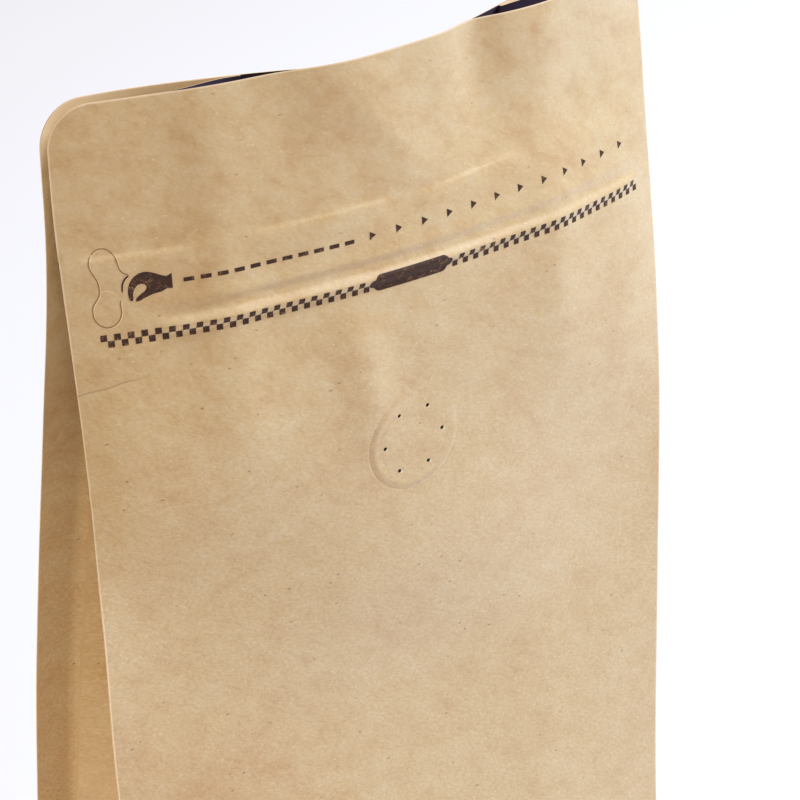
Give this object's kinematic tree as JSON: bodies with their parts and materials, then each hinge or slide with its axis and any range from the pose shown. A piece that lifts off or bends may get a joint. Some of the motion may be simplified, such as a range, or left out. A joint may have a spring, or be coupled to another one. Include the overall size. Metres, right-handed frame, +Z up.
{
  "type": "coffee bag",
  "caption": "Empty stand-up box pouch of kraft paper laminate with folded side gussets, a flat bottom, rounded top corners, a press-to-close strip and a one-way valve.",
  "frame": {"origin": "centre of the bottom, on the surface the bag stands on", "axes": "+X across the front panel to its right, -Y out of the front panel, +Z up to the mouth"},
  "size_m": [0.135, 0.062, 0.2638],
  "materials": {
    "kraft": "uncoated brown kraft paper, fibrous, matte",
    "film": "clear polyethylene strip, slightly milky",
    "valve_plastic": "off-white moulded plastic, satin"
  },
  "bodies": {
    "root": {"front_panel": "kraft", "back_panel": "kraft", "gusset_left": "kraft", "gusset_right": "kraft", "bottom_web": "kraft", "closure_strip": "film", "valve": "valve_plastic"}
  },
  "joints": []
}
